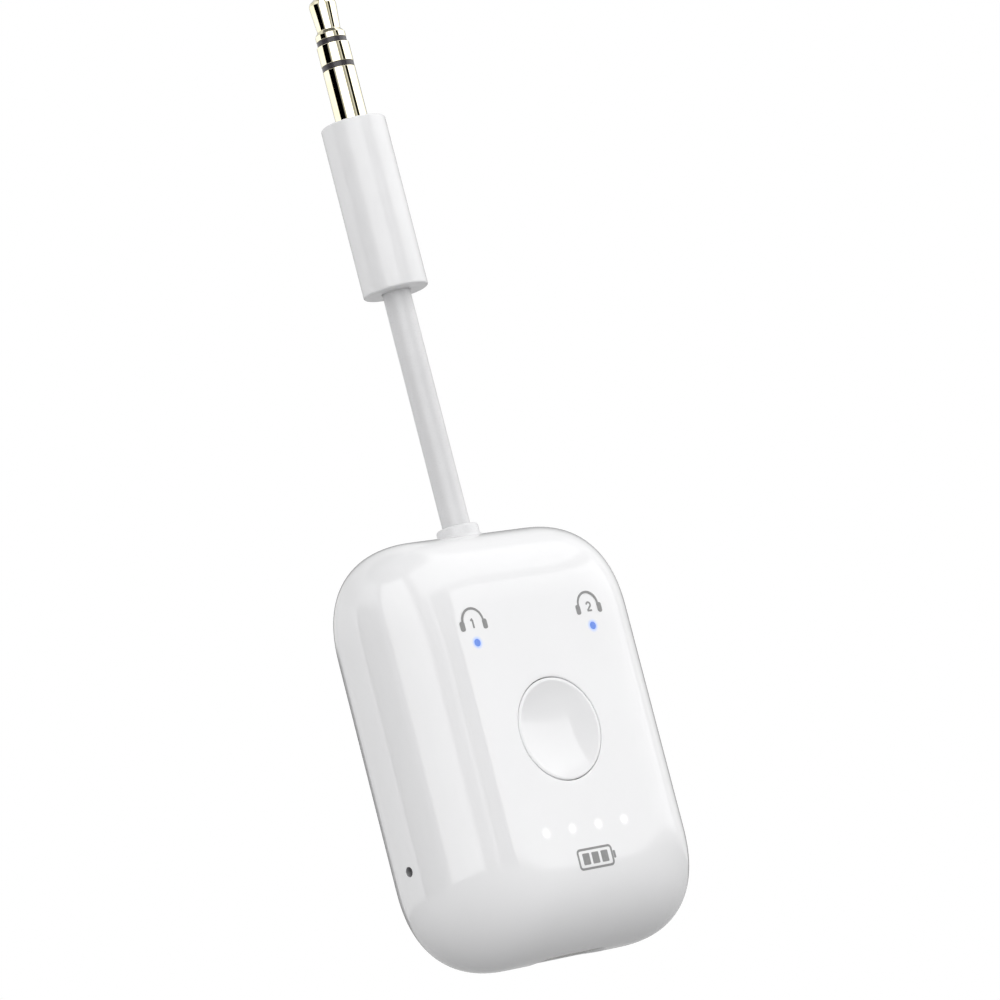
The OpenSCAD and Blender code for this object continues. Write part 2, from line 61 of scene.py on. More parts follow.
# Adds a node: inputs holds values or sockets to link from, the rest are the node's own settings
def addNode(tree, kind, inputs=None, **settings):
    node = tree.nodes.new(kind)
    for name, value in settings.items():
        setattr(node, name, value)
    for key, value in (inputs or {}).items():
        if isinstance(value, bpy.types.NodeSocket):
            tree.links.new(value, node.inputs[key])
        else:
            node.inputs[key].default_value = value
    return node


camera = dict(
    place=(-0.33394, -0.38465, -0.11875),
    turn=(98.697, 14.338, -39.370),
    lens=176.825, sensor=36, near=0.01, far=20,
)


def placeCamera():
    data = bpy.data.cameras.new("viewCamera")
    data.lens = camera["lens"]
    data.sensor_width = camera["sensor"]
    data.clip_start, data.clip_end = camera["near"], camera["far"]
    view = bpy.data.objects.new("viewCamera", data)
    view.location = camera["place"]
    view.rotation_euler = [math.radians(angle) for angle in camera["turn"]]
    bpy.context.collection.objects.link(view)
    bpy.context.scene.camera = view


placeCamera()
print("camera placed")


# Lengths from here on are in millimetres
weldSize = 1e-5


# A surface from grids of points (rows x columns x 3): each four neighbours make a face. Points that coincide
# become one, which closes seams and poles. The sum of a . (b x c) over a grid's triangles is six times its
# volume, and where it is negative the faces are turned to point outwards
def surfaceMesh(name, grids, sharpAngle=35):
    points, faces, start = [], [], 0
    for grid in grids:
        keys = np.round(grid.reshape(-1, 3) / weldSize).astype(np.int64)
        _, first, inverse = np.unique(keys, axis=0, return_index=True, return_inverse=True)
        index = inverse.reshape(grid.shape[:2])
        vertices = grid.reshape(-1, 3)[first]
        quads = np.stack([index[:-1, :-1], index[:-1, 1:], index[1:, 1:], index[1:, :-1]], -1).reshape(-1, 4)
        distinct = quads != np.roll(quads, -1, axis=1)
        count = distinct.sum(1)
        whole = quads[count == 4]
        wedges = quads[count == 3][distinct[count == 3]].reshape(-1, 3)
        middle = vertices.mean(0)
        triangles = np.concatenate([whole[:, :3], whole[:, [0, 2, 3]], wedges])
        a, b, c = (vertices[triangles[:, k]] - middle for k in range(3))
        if np.einsum("ij,ij->", a, np.cross(b, c)) < 0:
            whole, wedges = whole[:, ::-1], wedges[:, ::-1]
        points.append(vertices)
        faces += (whole + start).tolist() + (wedges + start).tolist()
        start += len(vertices)
    mesh = bpy.data.meshes.new(name)
    mesh.from_pydata((np.concatenate(points) * mm).tolist(), [], faces)
    mesh.shade_smooth()
    mesh.set_sharp_from_angle(angle=math.radians(sharpAngle))
    return mesh


# Makes a piece of one or more grids, gives it its finish and puts it on its body
def makePiece(name, grids, material, body="case", replaced=(), sharpAngle=35):
    piece = bpy.data.objects.new(name, surfaceMesh(name, grids, sharpAngle))
    bpy.context.collection.objects.link(piece)
    piece.data.materials.append(material)
    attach(piece, body)
    if replaced:
        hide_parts(*replaced)
    return piece


# Path through corners given as (across, along, fillet). Each fillet is an arc that touches both sides: its
# centre is on the bisector, fillet / sin(half the corner) away, and its radius swings from touch to touch
def filleted(corners, steps=6, closed=False):
    corners = np.array(corners, float)
    points = corners[:, :2]
    path = []
    for k, fillet in enumerate(corners[:, 2]):
        here = points[k]
        if fillet == 0:
            path.append(here[None])
            continue
        back, ahead = points[k - 1] - here, points[(k + 1) % len(points)] - here
        back, ahead = back / np.linalg.norm(back), ahead / np.linalg.norm(ahead)
        half = math.acos(back @ ahead) / 2
        middle = here + (back + ahead) / np.linalg.norm(back + ahead) * fillet / math.sin(half)
        first = here + back * fillet / math.tan(half) - middle
        last = here + ahead * fillet / math.tan(half) - middle
        turn = math.pi - 2 * half
        share = np.linspace(0, 1, steps + 1)[:, None]
        swing = np.sin((1 - share) * turn) * first + np.sin(share * turn) * last
        path.append(middle + swing / math.sin(turn))
    path = np.concatenate(path)
    return np.concatenate([path, path[:1]]) if closed else path


# Profile of (radius, distance along the axis) turned round an axis through centre: radius times cosine and
# sine of the angle across it
def turned(profile, axis="z", centre=(0, 0, 0), sides=96):
    angle = np.arange(sides + 1) % sides * 2 * np.pi / sides
    radius, along = np.asarray(profile)[:, :1], np.asarray(profile)[:, 1:]
    across, up = radius * np.cos(angle), radius * np.sin(angle)
    level = along + 0 * angle
    order = {"z": (across, up, level), "y": (across, level, up), "x": (level, across, up)}[axis]
    return np.stack(order, -1) + np.array(centre)


# Slab between two levels of y over a closed outline of (x, z) points, with a point at each end's middle
def slab(outline, low, high):
    outline = np.asarray(outline, float)
    middle = outline.mean(0)
    rings = [np.broadcast_to(middle, outline.shape), outline, outline, np.broadcast_to(middle, outline.shape)]
    levels = [low, low, high, high]
    return np.stack([np.insert(ring, 1, level, axis=1) for ring, level in zip(rings, levels)])


# Flat stroke that follows a path of (x, z) points, as a closed slab: each point is carried half the width to
# both sides, square to the path
def stroke(path, width, low, high):
    path = np.asarray(path, float)
    along = np.gradient(path, axis=0)
    along /= np.linalg.norm(along, axis=1)[:, None]
    side = np.stack([-along[:, 1], along[:, 0]], -1) * width / 2
    left, right = path + side, path - side
    ring = np.stack([left, right, right, left, left], 1)
    levels = np.broadcast_to([low, low, high, high, low], ring.shape[:2])
    body = np.stack([ring[..., 0], levels, ring[..., 1]], -1)
    caps = body[[0, -1]].copy()
    caps[:] = body[[0, -1], :4].mean(1)[:, None]
    return np.concatenate([caps[:1], body, caps[1:]])


# Points on part of an ellipse: centre plus the radii times cosine and sine, from one angle to another
def arcPath(centre, radii, start, stop, steps=24):
    angle = np.radians(np.linspace(start, stop, steps))
    return np.stack([centre[0] + radii[0] * np.cos(angle), centre[1] + radii[1] * np.sin(angle)], -1)


# Closed outline of (x, z) with four quarter circles, each about a middle set in by the corner's radius
def roundedRectangle(centre, size, corner, steps=6):
    quarter = np.linspace(0, np.pi / 2, steps)
    angle = np.concatenate([quarter + k * np.pi / 2 for k in range(4)] + [[0]])
    middleX = np.repeat([1, -1, -1, 1], steps) * (size[0] / 2 - corner)
    middleZ = np.repeat([1, 1, -1, -1], steps) * (size[1] / 2 - corner)
    middle = np.stack([np.append(middleX, middleX[0]), np.append(middleZ, middleZ[0])], -1)
    return np.array(centre) + middle + corner * np.stack([np.cos(angle), np.sin(angle)], -1)


# A material with its colour and roughness, and other fixed values set on the shader's own sockets
def newMaterial(name, colour, roughness, values=None):
    material = bpy.data.materials.new(name)
    material.use_nodes = True
    tree = material.node_tree
    shader = tree.nodes["Principled BSDF"]
    shader.inputs["Base Color"].default_value = hexColor(colour)
    shader.inputs["Roughness"].default_value = roughness
    for key, value in (values or {}).items():
        shader.inputs[key].default_value = value
    return material, tree, shader


# Object coordinates in mm, stretched by a factor along each axis
def objectPlace(tree, stretch=(1, 1, 1)):
    place = addNode(tree, "ShaderNodeTexCoord").outputs["Object"]
    return addNode(tree, "ShaderNodeVectorMath", {0: place, 1: [factor / mm for factor in stretch]},
                   operation="MULTIPLY").outputs[0]


# Noise whose grains are about a given size in mm, from 0 to 1
def noise(tree, place, grain, detail=2.0):
    inputs = {"Vector": place, "Scale": 1 / grain, "Detail": detail}
    return addNode(tree, "ShaderNodeTexNoise", inputs).outputs["Fac"]


# Sum, product or other operation of values or sockets
def calculate(tree, operation, first, second=0.0, third=0.0):
    return addNode(tree, "ShaderNodeMath", {0: first, 1: second, 2: third}, operation=operation).outputs[0]


# Carries a value from one range to another, held at the ends
def spread(tree, value, low, high, fromLow=0.3, fromHigh=0.7, smooth=False):
    return addNode(tree, "ShaderNodeMapRange",
                   {"Value": value, "From Min": fromLow, "From Max": fromHigh, "To Min": low, "To Max": high},
                   interpolation_type="SMOOTHSTEP" if smooth else "LINEAR").outputs[0]


# Mixes two colours, from low at 0 to high at 1
def blendColours(tree, factor, low, high):
    return addNode(tree, "ShaderNodeMix", {"Factor": factor, 6: low, 7: high}, data_type="RGBA").outputs[2]


# Drift of the colour between two hex values over patches of a given size in mm
def mottle(tree, shader, place, low, high, grain):
    colour = blendColours(tree, spread(tree, noise(tree, place, grain), 0, 1), hexColor(low), hexColor(high))
    tree.links.new(colour, shader.inputs["Base Color"])
    return colour


# Relief of a height pattern, with its depth in mm
def relief(tree, shader, height, depth):
    bump = addNode(tree, "ShaderNodeBump", {"Height": height, "Distance": depth * mm})
    tree.links.new(bump.outputs[0], shader.inputs["Normal"])


lamps = dict(
    linkX=8.0, linkZ=10.1,           # of each link lamp, from the button's centre
    batteryPitch=3.6, batteryZ=-10.4,
    linkTip=0.4, linkHalo=0.85, batteryTip=0.34, batteryHalo=0.75,
    linkColour="#527cd8", linkMilk="#5d86dd", linkStrength=0.14,
    batteryColour="#ffffff", batteryMilk="#f8f8fa", batteryStrength=0.8,
    linkGlow="#9ab8ff", glowStrength=0.16, glowStart=0.8, glowFall=1.6, glowDepth=0.5,
    proud=0.02, lens=0.015,          # how far a tip stands out of the face, and how much of that its rim drops
    seat=0.05, stem=0.9, stemEdge=0.08, bar=1.8, barCorner=0.4, barDepth=1.5,
)
holes = dict(
    resetUp=11.75, resetRadius=0.5, resetShade="#98989a", resetDeep=2.5, flare=0.05,
    glandRadius=2.3, glandDeep=3, slotDeep=3, clear=1,    # clear is how far the cutters stand out of the case
)
shellLow, shellHigh = (np.array(corner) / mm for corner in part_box("main_shell"))
caseZ = (shellLow[2] + shellHigh[2]) / 2


# ABS moulded in a polished tool: white right through, with a clear sharp gloss and the faintest swell.
# With lamps, the thin wall over each lamp glows softly, with the lamps' blue light also painted into the base
# colour, and painted shade darkens the pinhole's bore
def polishedAbs(name, lit=False):
    material, tree, shader = newMaterial(name, "#efeff0", 0.03, {"IOR": 1.54})
    place = objectPlace(tree)
    colour = mottle(tree, shader, place, "#eeeeef", "#f0f0f1", 11)
    gloss = spread(tree, noise(tree, place, 2.2), 0.015, 0.045)
    tree.links.new(gloss, shader.inputs["Roughness"])
    relief(tree, shader, noise(tree, place, 4.5, 0.0), 0.0006)
    if not lit:
        return material
    axes = addNode(tree, "ShaderNodeSeparateXYZ", {0: place})
    level = calculate(tree, "SUBTRACT", axes.outputs["Z"], caseZ)
    across = calculate(tree, "ABSOLUTE", axes.outputs["X"])
    folded = calculate(tree, "ABSOLUTE", calculate(tree, "SUBTRACT", across, lamps["batteryPitch"]))
    front = calculate(tree, "LESS_THAN", axes.outputs["Y"], shellLow[1] + lamps["glowDepth"])

    # Glow from 1 at a lamp's rim to 0 at the edge of its halo
    def halo(x, lampX, lampZ, tip, reach):
        spot = addNode(tree, "ShaderNodeCombineXYZ", {"X": x, "Z": level}).outputs[0]
        gap = addNode(tree, "ShaderNodeVectorMath", {0: spot, 1: (lampX, 0, lampZ)}, operation="DISTANCE")
        glow = spread(tree, gap.outputs["Value"], 1, 0, tip * lamps["glowStart"], reach, True)
        return calculate(tree, "MULTIPLY", glow, front)

    link = halo(across, lamps["linkX"], lamps["linkZ"], lamps["linkTip"], lamps["linkHalo"])
    battery = halo(folded, lamps["batteryPitch"] / 2, lamps["batteryZ"], lamps["batteryTip"],
                   lamps["batteryHalo"])
    linkGlowShare = calculate(tree, "POWER", link, lamps["glowFall"])

    # 1 on the wall of the pinhole, a rod along x, and 0 elsewhere: the mask of the shade painted in the pinhole
    aside = addNode(tree, "ShaderNodeVectorMath", {0: place, 1: (0, 1, 1)}, operation="MULTIPLY").outputs[0]
    away = addNode(tree, "ShaderNodeVectorMath", {0: aside, 1: (0, 0, shellLow[2] + holes["resetUp"])},
                   operation="DISTANCE").outputs["Value"]
    bore = calculate(tree, "MULTIPLY", calculate(tree, "LESS_THAN", away, holes["resetRadius"] + 0.02),
                     calculate(tree, "LESS_THAN", axes.outputs["X"], shellLow[0] + 2))

    glow = hexColor(lamps["linkGlow"])
    # Painted shade: the pinhole's bore is darkened to the grey of resetShade
    shaded = blendColours(tree, bore, colour, hexColor(holes["resetShade"]))
    # Painted light: near the link lamps the base colour is blended toward their blue glow, besides the emission
    tree.links.new(blendColours(tree, linkGlowShare, shaded, glow), shader.inputs["Base Color"])
    blue = blendColours(tree, linkGlowShare, (0, 0, 0, 1), glow)
    white = blendColours(tree, battery, blue, hexColor(lamps["batteryColour"]))
    tree.links.new(white, shader.inputs["Emission Color"])
    shader.inputs["Emission Strength"].default_value = lamps["glowStrength"]
    return material


# Moulded polycarbonate light guide with a diffuser in it: milky, and brightest at its lit tip
def litGuide(name, colour, milk, strength):
    material, tree, shader = newMaterial(name, colour, 0.2, {"IOR": 1.58})
    place = objectPlace(tree)
    mottle(tree, shader, place, colour, milk, 0.5)
    depth = addNode(tree, "ShaderNodeSeparateXYZ", {0: place}).outputs["Y"]
    lit = spread(tree, depth, 1, 0.15, shellLow[1], shellLow[1] + 2.5)
    tree.links.new(blendColours(tree, lit, (0, 0, 0, 1), hexColor(colour)), shader.inputs["Emission Color"])
    shader.inputs["Emission Strength"].default_value = strength
    return material


# TPE overmoulded on the cord and gland: soft satin skin with a very fine tooth
def satinTpe(name, low, high, roughness):
    material, tree, shader = newMaterial(name, low, roughness, {"IOR": 1.5})
    place = objectPlace(tree)
    mottle(tree, shader, place, low, high, 3)
    fine = noise(tree, place, 0.12, 3)  # real tooth is about 0.03 mm, drawn coarser so that it shows
    tree.links.new(spread(tree, fine, roughness - 0.05, roughness + 0.05), shader.inputs["Roughness"])
    relief(tree, shader, fine, 0.002)
    return material


# ABS moulded in a fine-blasted tool: white with a soft, slightly blurred gloss
def satinAbs(name):
    material, tree, shader = newMaterial(name, "#ececed", 0.2, {"IOR": 1.54})
    place = objectPlace(tree)
    mottle(tree, shader, place, "#ebebec", "#efeff0", 5)
    tree.links.new(spread(tree, noise(tree, place, 0.8), 0.17, 0.24), shader.inputs["Roughness"])
    grit = noise(tree, place, 0.15, 3)  # the blasting leaves pits of about 0.05 mm, drawn coarser to show
    relief(tree, shader, grit, 0.001)
    return material


# Pale gold plating over turned brass: mirror bright, with the lathe's fine rings under the plating
def goldPlate(name):
    material, tree, shader = newMaterial(name, "#fbf4d6", 0.06, {"Metallic": 1.0})
    place = objectPlace(tree)
    mottle(tree, shader, place, "#f8f0cb", "#fcf6dd", 1.5)
    height = addNode(tree, "ShaderNodeSeparateXYZ", {0: place}).outputs["Z"]
    pitch = 0.16  # the lathe feeds about 0.05 mm a turn, drawn coarser so that it shows
    rings = calculate(tree, "SINE", calculate(tree, "MULTIPLY", height, 2 * math.pi / pitch))
    relief(tree, shader, rings, 0.0002)
    tree.links.new(spread(tree, noise(tree, place, 0.4), 0.035, 0.07), shader.inputs["Roughness"])
    return material


# Moulded acetal in the plug's bands: dense dark grey with a dull shine
def acetal(name):
    material, tree, shader = newMaterial(name, "#3a373b", 0.22, {"IOR": 1.48})
    place = objectPlace(tree)
    mottle(tree, shader, place, "#363337", "#403d41", 0.6)
    relief(tree, shader, noise(tree, place, 0.1, 3), 0.002)
    return material


# Pad-printed epoxy ink: matt grey film with slightly uneven cover
def printInk(name):
    material, tree, shader = newMaterial(name, "#8f8f8f", 0.45)
    place = objectPlace(tree)
    mottle(tree, shader, place, "#8b8b8b", "#949494", 0.35)
    relief(tree, shader, noise(tree, place, 0.08), 0.001)
    return material


# Epoxy board under solder mask: glossy green, with copper tracks that show as paler raised lines
def solderMask(name):
    material, tree, shader = newMaterial(name, "#1d6a3f", 0.22, {"IOR": 1.55})
    place = objectPlace(tree)
    cells = addNode(tree, "ShaderNodeTexBrick", {"Vector": objectPlace(tree, (1, 0.2, 1)), "Scale": 1.0,
                                                 "Mortar Size": 0.09, "Brick Width": 1.9, "Row Height": 0.62})
    tracks = cells.outputs["Fac"]
    ground = mottle(tree, shader, place, "#19603a", "#1f6f43", 2)
    tree.links.new(blendColours(tree, tracks, ground, hexColor("#3b8f5c")), shader.inputs["Base Color"])
    relief(tree, shader, tracks, 0.03)
    return material


# Transfer-moulded epoxy of a chip: near black, matt, with a fine grain
def chipEpoxy(name):
    material, tree, shader = newMaterial(name, "#1f2022", 0.55)
    place = objectPlace(tree)
    mottle(tree, shader, place, "#1b1c1e", "#26272a", 0.4)
    relief(tree, shader, noise(tree, place, 0.06, 3), 0.006)
    return material


# Tinned or nickelled sheet, pressed to shape: bright grey metal with fine rolling lines
def platedSheet(name, colour, roughness):
    material, tree, shader = newMaterial(name, colour, roughness, {"Metallic": 1.0})
    lines = noise(tree, objectPlace(tree, (1, 1, 0.06)), 0.05, 2)
    tree.links.new(spread(tree, lines, roughness - 0.06, roughness + 0.08), shader.inputs["Roughness"])
    relief(tree, shader, lines, 0.001)
    mottle(tree, shader, objectPlace(tree), colour, "#e2e2df", 1.6)
    return material


# Fired ceramic or filled nylon: fine, even and dull, with a little tone
def firedCeramic(name, low, high, roughness):
    material, tree, shader = newMaterial(name, low, roughness)
    place = objectPlace(tree)
    mottle(tree, shader, place, low, high, 0.5)
    relief(tree, shader, noise(tree, place, 0.07, 3), 0.004)
    return material


# Laminated pouch foil round the cell: silvery, with shallow creases
def pouchFoil(name):
    material, tree, shader = newMaterial(name, "#c4c8cd", 0.36, {"Metallic": 0.9})
    place = objectPlace(tree)
    creases = addNode(tree, "ShaderNodeTexVoronoi", {"Vector": place, "Scale": 1 / 3.5}, feature="F2")
    relief(tree, shader, creases.outputs["Distance"], 0.05)
    mottle(tree, shader, place, "#bcc1c7", "#d0d3d7", 4)
    return material


# Cut polyurethane foam: dark, dry, with open cells
def cellFoam(name):
    material, tree, shader = newMaterial(name, "#3d3e41", 0.95)
    place = objectPlace(tree)
    cells = addNode(tree, "ShaderNodeTexVoronoi", {"Vector": place, "Scale": 1 / 0.3}).outputs["Distance"]
    relief(tree, shader, cells, 0.12)
    mottle(tree, shader, place, "#343538", "#47484b", 0.5)
    return material


finishes = dict(
    shell=polishedAbs("abs_polished_lit", lit=True),
    gloss=polishedAbs("abs_polished"),
    satin=satinAbs("abs_satin"),
    skin=satinTpe("tpe_satin", "#d9d9da", "#ddddde", 0.3),
    gland=satinTpe("tpe_gland", "#e2e2e3", "#e6e6e7", 0.3),
    gold=goldPlate("gold_plate_turned"),
    band=acetal("acetal_moulded"),
    ink=printInk("ink_pad_printed"),
    linkGuide=litGuide("polycarbonate_lit_blue", lamps["linkColour"], lamps["linkMilk"],
                       lamps["linkStrength"]),
    batteryGuide=litGuide("polycarbonate_lit_white", lamps["batteryColour"], lamps["batteryMilk"],
                          lamps["batteryStrength"]),
    board=solderMask("board_solder_mask"),
    chip=chipEpoxy("chip_epoxy_moulded"),
    tin=platedSheet("steel_tinned", "#cfcfcb", 0.24),
    nickel=platedSheet("steel_nickelled", "#c3c3c0", 0.16),
    contact=platedSheet("copper_gilt_contact", "#e8c877", 0.18),
    capacitor=firedCeramic("ceramic_capacitor", "#a9825a", "#b99169", 0.5),
    alumina=firedCeramic("ceramic_white", "#e6e1d6", "#efebe2", 0.45),
    nylon=firedCeramic("nylon_moulded", "#ddd8c6", "#e6e2d3", 0.5),
    foil=pouchFoil("foil_pouch_laminate"),
    foam=cellFoam("foam_polyurethane"),
    tape=firedCeramic("tape_adhesive", "#e5e2d8", "#eeece4", 0.6),
    wire=firedCeramic("pvc_wire_red", "#b23a2a", "#bf4636", 0.4),
)
print("materials made:", len(finishes))


# The cord's diameter is in millimetres; its length, exit and route are in metres
cordShape = dict(
    diameter=3.0, length=0.035, exitZ=-0.045,
    route=[(0, 0, -0.050), (0, 0, -0.0475), (0, 0, -0.045), (0, 0, -0.0425), (0, 0, -0.040),
           (0, 0, -0.0375), (0, 0, -0.035), (0, 0, -0.0325), (0, 0, -0.030), (0, 0, -0.0275),
           (0, 0, -0.025), (0, 0, -0.0225), (0, 0, -0.020), (0, 0, -0.0175), (0, 0, -0.015)],
)


# Tube of one diameter along the route, with closed ends inside the gland and the plug's grip
def makeCord():
    curve = bpy.data.curves.new("cordJacket", "CURVE")
    curve.dimensions = "3D"
    curve.bevel_depth = cordShape["diameter"] / 2 * mm
    curve.bevel_resolution = 12
    curve.use_fill_caps = True
    spline = curve.splines.new("POLY")
    spline.points.add(len(cordShape["route"]) - 1)
    spline.points.foreach_set("co", np.array([(*point, 1) for point in cordShape["route"]]).ravel())
    spline.use_smooth = True
    cord = bpy.data.objects.new("cordJacket", curve)
    bpy.context.collection.objects.link(cord)
    curve.materials.append(finishes["skin"])
    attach(cord, "case")
    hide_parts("cord")
    return cord


cord = makeCord()
print("cord made")


caseShape = dict(
    cornerSize=10.08, cornerPower=2.45, cornerShrink=0.6,   # plan corners, and how they tighten inwards
    edgeInset=9.0, edgePower=2.1, wall=1.4,
    buttonHole=5.5, holeFillet=0.1, jointFillet=0.12, jointGap=0.04,
    lipGap=0.1, lipThickness=1.1, lipDepth=1.0, sharpAngle=24,
)
halfX = (shellHigh[0] - shellLow[0]) / 2
halfZ = (shellHigh[2] - shellLow[2]) / 2
halfY = -shellLow[1]
jointY = shellHigh[1]


# How far the surface is inside the outline at a depth y: a quarter of a superellipse, where the rise is
# (1 - |y / half depth| ^ power) ^ (1 / power)
def edgeInset(y, wall=0.0):
    share = np.clip(np.abs(y) / (halfY - wall), 0, 1)
    rise = (1 - share ** caseShape["edgePower"]) ** (1 / caseShape["edgePower"])
    return wall + (caseShape["edgeInset"] - wall) * (1 - rise)


# Closed outlines of (x, z), one for each inset: straight sides and superellipse corners, whose distance
# from the corner's middle is (cos ^ power + sin ^ power) ^ (-1 / power) of its size, mirrored twice
def outlines(inset):
    inset = np.atleast_1d(np.asarray(inset, float))[:, None]
    reachX, reachZ = halfX - inset, halfZ - inset
    corner = caseShape["cornerSize"] - caseShape["cornerShrink"] * inset
    turn, power = np.linspace(0, np.pi / 2, 33), caseShape["cornerPower"]
    size = (np.cos(turn) ** power + np.sin(turn) ** power) ** (-1 / power)
    side, end = np.linspace(0, 1, 20, endpoint=False), np.linspace(0, 1, 13)[1:]
    bendX = reachX - corner + corner * size * np.cos(turn)
    bendZ = reachZ - corner + corner * size * np.sin(turn)
    x = np.concatenate([reachX + 0 * side, bendX, (reachX - corner) * (1 - end)], 1)
    z = np.concatenate([(reachZ - corner) * side, bendZ, reachZ + 0 * end], 1)
    x, z = np.concatenate([x, -x[:, -2::-1]], 1), np.concatenate([z, z[:, -2::-1]], 1)
    x, z = np.concatenate([x, x[:, -2::-1]], 1), np.concatenate([z, -z[:, -2::-1]], 1)
    x[:, -1], z[:, -1] = x[:, 0], z[:, 0]
    return np.stack([x, z], -1)


# Rings of the case at each (inset, y) of a path
def caseRings(path):
    path = np.asarray(path, float)
    flat = outlines(path[:, 0])
    level = np.broadcast_to(path[:, 1:], flat.shape[:2])
    return np.stack([flat[..., 0], level, flat[..., 1] + caseZ], -1)


flatOutline = outlines(caseShape["edgeInset"])[0]
ringDirection = flatOutline / np.linalg.norm(flatOutline, axis=1)[:, None]


# Rings on a flat face at one level of y, from a circle of a given radius out to the flat's own outline
def faceRings(radius, y, shares):
    share = np.asarray(shares)[:, None, None]
    flat = (1 - share) * radius * ringDirection + share * flatOutline
    return np.stack([flat[..., 0], np.full(flat.shape[:2], y), flat[..., 1] + caseZ], -1)


# Depths y from one level to another, closer together where the edge turns into the face
def edgeLevels(start, stop, wall, steps):
    half = halfY - wall
    return half * np.sin(np.linspace(math.asin(start / half), math.asin(stop / half), steps))


# Path round the small radius on a half's rim, where it ends at a level of y and faces up or down it
def rimPath(level, facing):
    radius, turn = caseShape["jointFillet"], np.linspace(0, np.pi / 2, 6)[1:]
    start = level - facing * radius
    inset = edgeInset(start) + radius * (1 - np.cos(turn))
    return np.stack([inset, start + facing * radius * np.sin(turn)], -1)


# The front half: one closed surface that runs from the button hole over the front and the edge to the
# joint, and back along the inside to the hole
def shellGrid():
    bore, fillet, wall = (caseShape[key] for key in ("buttonHole", "holeFillet", "wall"))
    turn = np.linspace(0, np.pi / 2, 6)
    inner = -halfY + wall
    boreWall = faceRings(bore, inner, [0])
    boreEdge = [faceRings(bore + fillet * (1 - math.cos(a)), -halfY + fillet * (1 - math.sin(a)), [0])
                for a in turn]
    front = faceRings(bore + fillet, -halfY, np.linspace(0, 1, 14)[1:-1])
    outer = edgeLevels(-halfY, jointY - caseShape["jointFillet"], 0, 72)
    outerPath = np.stack([edgeInset(outer), outer], -1)
    back = edgeLevels(jointY, inner, wall, 40)
    innerPath = np.stack([edgeInset(back, wall), back], -1)
    inside = faceRings(bore, inner, np.linspace(1, 0, 10)[1:])
    return np.concatenate([boreWall, *boreEdge, front, caseRings(outerPath), caseRings(rimPath(jointY, 1)),
                           caseRings(innerPath), inside])


# The rear half: from the middle of the back over the edge to the joint, round the lip that fits inside
# the front half, and back to the middle
def coverGrid():
    wall = caseShape["wall"]
    level = jointY + caseShape["jointGap"]
    back = faceRings(0, halfY, np.linspace(0, 1, 14)[:-1])
    outer = edgeLevels(halfY, level + caseShape["jointFillet"], 0, 40)
    outerPath = np.stack([edgeInset(outer), outer], -1)
    lipOuter = edgeInset(jointY, wall) + caseShape["lipGap"]
    lipInner = lipOuter + caseShape["lipThickness"]
    lipFront = jointY - caseShape["lipDepth"]
    lipPath = [(lipOuter, level), (lipOuter, lipFront), (lipInner, lipFront)]
    inner = edgeLevels(jointY, halfY - wall, wall, 30)
    innerPath = np.stack([np.maximum(edgeInset(inner, wall), lipInner), inner], -1)
    inside = faceRings(0, halfY - wall, np.linspace(1, 0, 10)[1:])
    return np.concatenate([back, caseRings(outerPath), caseRings(rimPath(level, -1)), caseRings(lipPath),
                           caseRings(innerPath), inside])


port = dict(
    width=8.94, height=3.2, slotGap=0.18, flare=0.3, mouthZ=0.3, length=7.3, wall=0.3, lipRadius=0.12,
)


# Outline of a slot as (x, y), grown by a margin: two half circles joined by straight sides
def obround(grow, steps=24):
    radius = port["height"] / 2 + grow
    reach = (port["width"] - port["height"]) / 2
    angle = np.linspace(-np.pi / 2, np.pi / 2, steps)
    right = np.stack([reach + radius * np.cos(angle), radius * np.sin(angle)], -1)
    return np.concatenate([right, -right, right[:1]])


# Rings of the slot at each (grow, z) of a path, with a point at each end's middle
def obroundRings(path, capped=True):
    rings = np.stack([np.insert(obround(grow), 2, z, axis=1) for grow, z in path])
    if not capped:
        return rings
    caps = np.zeros_like(rings[:2])
    caps[0, :, 2], caps[1, :, 2] = path[0][1], path[-1][1]
    return np.concatenate([caps[:1], rings, caps[1:]])


# Cuts the port's slot and the holes for the gland and the reset pin, the slot and pinhole with flared mouths
def cutHoles(piece):
    bottom, left, top, clear = shellLow[2], shellLow[0], shellHigh[2], holes["clear"]
    gap, mouth = port["slotGap"], port["flare"]
    slot = obroundRings([(gap + clear + mouth, bottom - clear), (gap, bottom + mouth - 0.02),
                         (gap, bottom + holes["slotDeep"])])
    radius, low, high = holes["glandRadius"], top - holes["glandDeep"], top + clear
    gland = turned([(0, low), (radius, low), (radius, high), (0, high)])
    radius, edge, deep = holes["resetRadius"], holes["flare"], left + holes["resetDeep"]
    reset = turned([(0, left - clear), (radius + clear + edge, left - clear), (radius, left + edge),
                    (radius, deep), (0, deep)], "x", (0, 0, bottom + holes["resetUp"]), 48)
    for name, grid in (("slotCutter", slot), ("glandCutter", gland), ("resetCutter", reset)):
        cutter = bpy.data.objects.new(name, surfaceMesh(name, [grid]))
        bpy.context.collection.objects.link(cutter)
        cut = piece.modifiers.new(name, "BOOLEAN")
        cut.operation, cut.solver, cut.object = "DIFFERENCE", "EXACT", cutter
    bpy.context.view_layer.update()
    finished = bpy.data.meshes.new_from_object(piece.evaluated_get(bpy.context.evaluated_depsgraph_get()))
    for cut in list(piece.modifiers):
        bpy.data.objects.remove(cut.object)
        piece.modifiers.remove(cut)
    finished.shade_smooth()
    finished.set_sharp_from_angle(angle=math.radians(caseShape["sharpAngle"]))
    finished.name = piece.name
    piece.data = finished


frontShell = makePiece("frontShell", [shellGrid()], finishes["shell"], replaced=["main_shell"],
                       sharpAngle=caseShape["sharpAngle"])
cutHoles(frontShell)
makePiece("backCover", [coverGrid()], finishes["gloss"], replaced=["rear_cover"],
          sharpAngle=caseShape["sharpAngle"])
print("case made")


